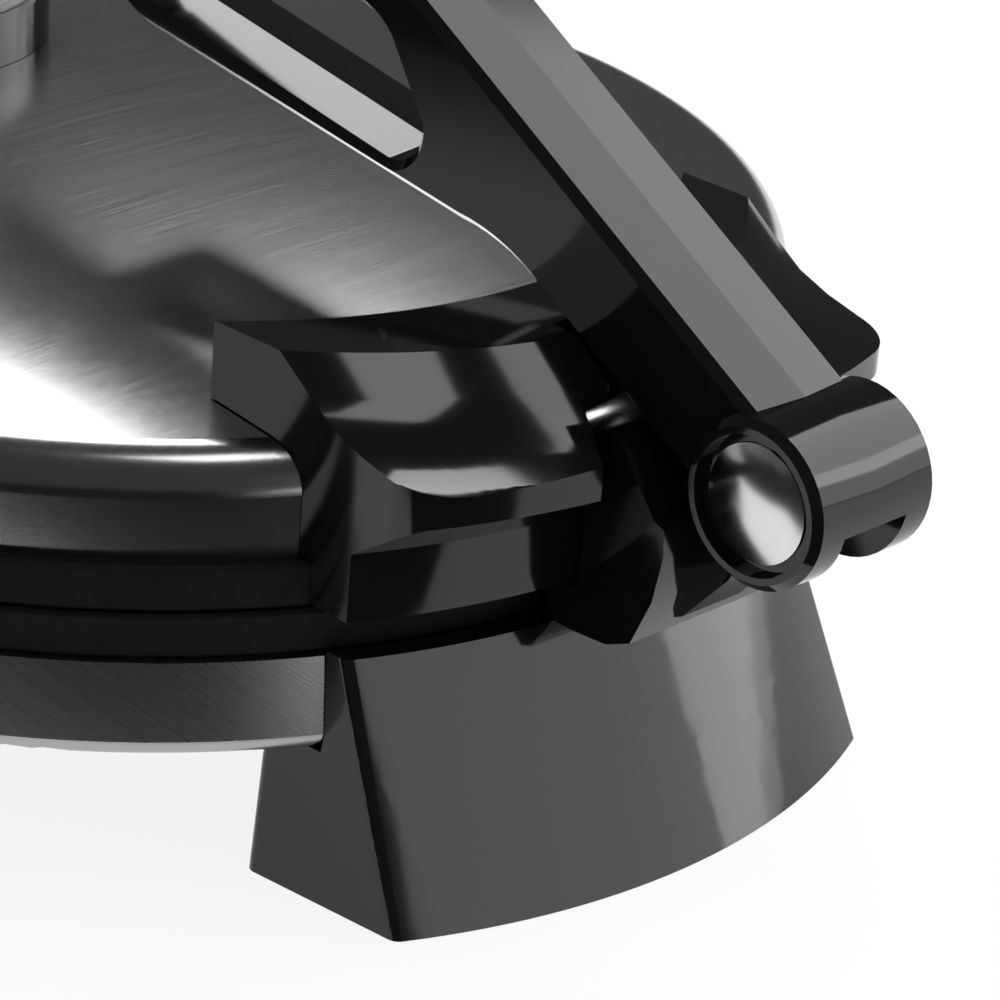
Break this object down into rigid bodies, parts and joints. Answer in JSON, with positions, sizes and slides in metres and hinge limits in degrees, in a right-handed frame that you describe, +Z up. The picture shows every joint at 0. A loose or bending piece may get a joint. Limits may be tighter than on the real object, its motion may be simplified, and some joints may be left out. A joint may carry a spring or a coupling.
{
  "type": "roti maker",
  "caption": "Electric flatbread maker: hinged brushed steel lid under a long black arm with a hand opening, coated plates, flared black feet.",
  "frame": {"origin": "centre of the footprint on the table, under the middle of the plates", "axes": "+Z up, -Y towards the grip and the user, +Y towards the pivot, X across"},
  "size_m": [0.268, 0.3776, 0.16],
  "materials": {
    "brushed_steel": "straight brushed stainless sheet",
    "polished_steel": "satin polished stainless",
    "cover_sheet": "black painted sheet",
    "coated_plate": "cast aluminium with dark non-stick coating",
    "heater_tube": "oxidised steel tube",
    "reflector_sheet": "bright aluminised sheet",
    "zinc_steel": "zinc plated steel",
    "brass_bush": "turned brass",
    "ceramic_white": "unglazed white ceramic",
    "black_rubber": "moulded rubber",
    "black_gloss": "high gloss moulded phenolic",
    "black_grip": "fine textured plastic",
    "red_lens": "clear red lens",
    "green_lens": "clear green lens"
  },
  "bodies": {
    "base": {"base_shroud": "brushed_steel", "bottom_cover": "cover_sheet", "lower_plate": "coated_plate", "lower_heater": "heater_tube", "lower_reflector": "reflector_sheet", "lower_tie_bolt": "zinc_steel", "lower_tie_nut": "zinc_steel", "lower_thermal_fuse": "zinc_steel", "thermostat": "ceramic_white", "terminal_block": "ceramic_white", "cord_bush": "black_rubber", "rear_foot": "black_gloss", "front_foot": "black_gloss", "rubber_feet": "black_rubber", "foot_screws": "zinc_steel", "power_lens": "red_lens", "ready_lens": "green_lens", "hinge_bracket": "black_gloss", "pivot_bush": "brass_bush"},
    "lid": {"lid_cover": "brushed_steel", "upper_plate": "coated_plate", "upper_heater": "heater_tube", "upper_reflector": "reflector_sheet", "upper_thermal_fuse": "zinc_steel", "upper_tie_bolt": "zinc_steel", "lid_hood": "black_gloss", "lid_pedestal": "black_gloss", "arm_left_half": "black_gloss", "arm_right_half": "black_gloss", "arm_screws": "zinc_steel", "grip": "black_grip", "pivot_cap_left": "polished_steel", "pivot_cap_right": "polished_steel", "pivot_pin": "zinc_steel"}
  },
  "joints": [
    {"name": "lid_hinge", "type": "hinge", "parent": "base", "child": "lid", "pos_m": [0, 0.1738, 0.0813], "axis": [-1, 0, 0], "range_deg": [0, 95]}
  ]
}
